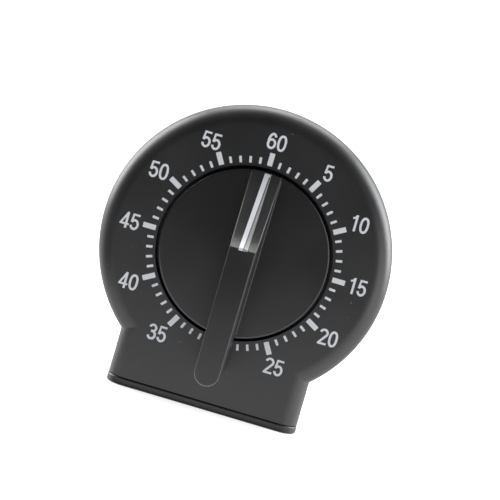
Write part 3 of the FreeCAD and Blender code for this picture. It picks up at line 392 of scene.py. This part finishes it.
DIGITS = {
    "0": [(oval((0, 0), (SIDE, TOP), 2.3), STROKE, True)],
    "1": [([(0.3, -DIGIT_HALF_H), (0.3, DIGIT_HALF_H)], STROKE, False),
          (arc((-0.6, DIGIT_HALF_H), (0.82, 0.86), -90, -12, 6), THIN_STROKE, False)],
    "2": [(arc((0, 0.84), (SIDE, TOP - 0.84), 172, -28) + [(-0.68, -1.42)], STROKE, False),
          ([(-1.02, -TOP), (1.02, -TOP)], STROKE - 0.04, False)],
    "3": [(arc((-0.02, 0.9), (0.72, TOP - 0.9), 168, -90) + [(-0.34, 0.16)], STROKE - 0.02, False),
          ([(-0.34, 0.14)] + arc((-0.02, -0.75), (0.8, 0.89), 90, -168), STROKE, False)],
    "4": [([(0.42, -DIGIT_HALF_H), (0.42, DIGIT_HALF_H)], STROKE, False),
          ([(-1.08, -0.9), (1.08, -0.9)], THIN_STROKE, False),
          ([(-0.85, -0.88), (0.36, 1.66)], THIN_STROKE, False)],
    "5": [([(-0.74, 1.67), (0.88, 1.67)], THIN_STROKE + 0.02, False),
          ([(-0.56, 1.8), (-0.76, -0.12)], THIN_STROKE, False),
          (arc((-0.02, -0.6), (0.8, TOP - 0.6), 152, -166), STROKE, False)],
    "6": [(oval((0.0, -0.66), (SIDE, TOP - 0.66), 2.1), STROKE, True),
          (arc((0.03, 0.0), (SIDE + 0.03, TOP), 38, 205), STROKE, False)],
}


def digit_mesh(strokes):
    """One digit as a clean solid, 2 units deep."""
    pieces = []
    for line, width, closed in strokes:
        bm = bmesh.new()
        ribbon(bm, line, width, closed)
        bmesh.ops.recalc_face_normals(bm, faces=bm.faces)
        pieces.append(mesh_piece("stroke", bm))
    first, others = pieces[0], pieces[1:]
    for other in others:
        union = first.modifiers.new("union", "BOOLEAN")
        union.operation = "UNION"
        union.solver = "EXACT"
        union.object = other
    graph = bpy.context.evaluated_depsgraph_get()
    mesh = bpy.data.meshes.new_from_object(first.evaluated_get(graph))
    for piece in pieces:
        bpy.data.objects.remove(piece)
    return mesh


def place_on_dial(x, z):
    """Takes a shape drawn in millimetres to a place on the dial, as raised ink."""
    depth = (INK_PROUD + INK_SUNK) / 2
    middle_y = (INK_SUNK - INK_PROUD) / 2
    move = Matrix.Translation(DIAL_MIDDLE + Vector((x, middle_y, z)))
    return move @ Matrix.Diagonal((MM, depth, MM, 1.0))


def dial_figures():
    meshes = {digit: digit_mesh(strokes) for digit, strokes in DIGITS.items()}
    bm = bmesh.new()
    for minute in range(FIGURE_STEP, MINUTES + 1, FIGURE_STEP):
        angle = math.radians(90.0 - 360.0 * minute / MINUTES)
        x = FIGURE_R * math.cos(angle) + FIGURE_SHIFT[minute][0] * MM
        z = FIGURE_R * math.sin(angle) + FIGURE_SHIFT[minute][1] * MM
        text = str(minute)
        for number, digit in enumerate(text):
            placed = meshes[digit].copy()
            placed.transform(place_on_dial(x + (number - (len(text) - 1) / 2) * DIGIT_PITCH, z))
            bm.from_mesh(placed)
            bpy.data.meshes.remove(placed)
    return mesh_piece("dial_figures", bm)


def tick_outline(length, width, corner):
    """A tick standing along +z from z = 0, its corners a little rounded."""
    outline = []
    for side, end, start in ((1, 1, 0), (-1, 1, 90), (-1, 0, 180), (1, 0, 270)):
        centre = (side * (width / 2 - corner), corner + end * (length - 2 * corner))
        outline += arc(centre, (corner, corner), start, start + 90, 3)
    return outline


def dial_ticks():
    bm = bmesh.new()
    for minute in range(MINUTES):
        turn = Matrix.Rotation(-2 * math.pi * minute / MINUTES, 2)
        if minute % FIGURE_STEP == 0:
            outline = tick_outline(LONG_TICK_LENGTH, LONG_TICK_WIDTH, TICK_CORNER)
        else:
            outline = tick_outline(TICK_LENGTH, TICK_WIDTH, TICK_CORNER)
        points = []
        for x, z in outline:
            turned = turn @ Vector((x, z + TICK_INNER_R))
            points.append((DIAL_MIDDLE.x + turned.x, DIAL_MIDDLE.z + turned.y))
        prism(bm, points, FACE_Y - INK_PROUD, FACE_Y + INK_SUNK)
    bmesh.ops.recalc_face_normals(bm, faces=bm.faces)
    return mesh_piece("dial_ticks", bm)


# --- Studio ---
def studio_floor():
    """A pale floor that glows. The plastic's reflections look through it to the world below."""
    bm = bmesh.new()
    half = FLOOR_HALF
    corners = [(-half, -half), (half, -half), (half, half), (-half, half)]
    bm.faces.new([bm.verts.new((x, y, FLOOR_Z)) for x, y in corners])
    floor = mesh_piece("studio_floor", bm)
    look = Look("floor_white", FLOOR_COLOR, FLOOR_ROUGHNESS, specular=0.0)
    lighter = tuple(part * FLOOR_PATCH_LIGHTER for part in FLOOR_COLOR)
    look.color(look.mix_color(look.noise(FLOOR_PATCH), FLOOR_COLOR, lighter))
    look.shader.inputs["Emission Color"].default_value = (1.0, 1.0, 1.0, 1.0)
    look.shader.inputs["Emission Strength"].default_value = FLOOR_GLOW
    floor.data.materials.append(look.material)
    floor.visible_glossy = False


def studio_world():
    """Light from all round: bright beside and behind the timer, dim in front of it."""
    world = bpy.data.worlds.new("studio")
    world.use_nodes = True
    world.cycles.sampling_method = "NONE"
    nodes, links = world.node_tree.nodes, world.node_tree.links
    along = nodes.new("ShaderNodeVectorMath")
    along.operation = "DOT_PRODUCT"
    links.new(nodes.new("ShaderNodeTexCoord").outputs["Generated"], along.inputs[0])
    along.inputs[1].default_value = WORLD_AXIS
    ramp = nodes.new("ShaderNodeValToRGB")
    elements = ramp.color_ramp.elements
    while len(elements) < len(WORLD_BRIGHTNESS):
        elements.new(0.5)
    for element, (place, level) in zip(elements, WORLD_BRIGHTNESS):
        element.position = (place + 1) / 2
        element.color = (level, level, level, 1.0)
    spread = nodes.new("ShaderNodeMapRange")
    spread.inputs["From Min"].default_value = -1.0
    links.new(along.outputs["Value"], spread.inputs["Value"])
    links.new(spread.outputs["Result"], ramp.inputs["Fac"])
    background = nodes["Background"]
    links.new(ramp.outputs["Color"], background.inputs["Color"])
    background.inputs["Strength"].default_value = WORLD_STRENGTH
    bpy.context.scene.world = world
    bpy.context.scene.view_settings.view_transform = "Standard"


def soft_box(name, place, facing, size, radiance, color):
    """A rectangular soft light."""
    data = bpy.data.lights.new(name, "AREA")
    data.shape = "RECTANGLE"
    data.size, data.size_y = size
    data.energy = radiance * math.pi * size[0] * size[1]
    data.color = color
    light = bpy.data.objects.new(name, data)
    light.location = DIAL_MIDDLE + Vector(place)
    light.rotation_mode = "QUATERNION"
    light.rotation_quaternion = (-Vector(facing)).to_track_quat("Z", "Y")
    light.visible_camera = False
    bpy.context.scene.collection.objects.link(light)
    return light


def studio_camera():
    azimuth, elevation = CAMERA_AZIMUTH, CAMERA_ELEVATION
    back = Vector((math.sin(azimuth) * math.cos(elevation), -math.cos(azimuth) * math.cos(elevation),
                   math.sin(elevation)))
    level = Vector((math.cos(azimuth), math.sin(azimuth), 0.0))
    upright = back.cross(level)
    right = math.cos(CAMERA_ROLL) * level + math.sin(CAMERA_ROLL) * upright
    up = back.cross(right)
    aim = DIAL_MIDDLE + right * AIM_RIGHT + up * AIM_UP
    data = bpy.data.cameras.new("camera")
    data.lens = CAMERA_LENS
    data.sensor_width = SENSOR_WIDTH
    data.clip_start = CLIP_NEAR
    data.clip_end = CLIP_FAR
    camera = bpy.data.objects.new("camera", data)
    turn = Matrix((right, up, back)).transposed().to_4x4()
    camera.matrix_world = Matrix.Translation(aim + back * CAMERA_DISTANCE) @ turn
    bpy.context.scene.collection.objects.link(camera)
    bpy.context.scene.camera = camera


studio_world()
studio_floor()
studio_camera()
for name, values in SOFT_BOXES.items():
    soft_box(name, *values)
for name, values in CARDS.items():
    soft_box(name, *values).visible_diffuse = False

case_black = black_plastic("case_black", CASE_BLACK, CASE_WORN, CASE_ROUGHNESS)
knob_black = black_plastic("knob_black", KNOB_BLACK, KNOB_WORN, KNOB_ROUGHNESS, coarse_hollow=True)
ink = white_ink("dial_ink", INK_WHITE)
pointer_white = pointer_plastic("pointer_white", POINTER_WHITE, FLANK_LIGHT, FLANK_DARK)
metals = {name: metal(name, *values) for name, values in METALS.items()}

FINISH = {
    "case_plastic": case_black,
    "knob_plastic": knob_black,
    "pointer_white": pointer_white,
    "brass": metals["brass"],
    "steel": metals["steel"],
    "spring_steel": metals["blued_steel"],
    "bell_steel": metals["nickel"],
}
for part in frame["record"]["subparts"]:
    dress(part["node"], FINISH[part["material_slot"]])

for piece in (dial_ticks(), dial_figures()):
    piece.data.materials.append(ink)
    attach(piece, "case")
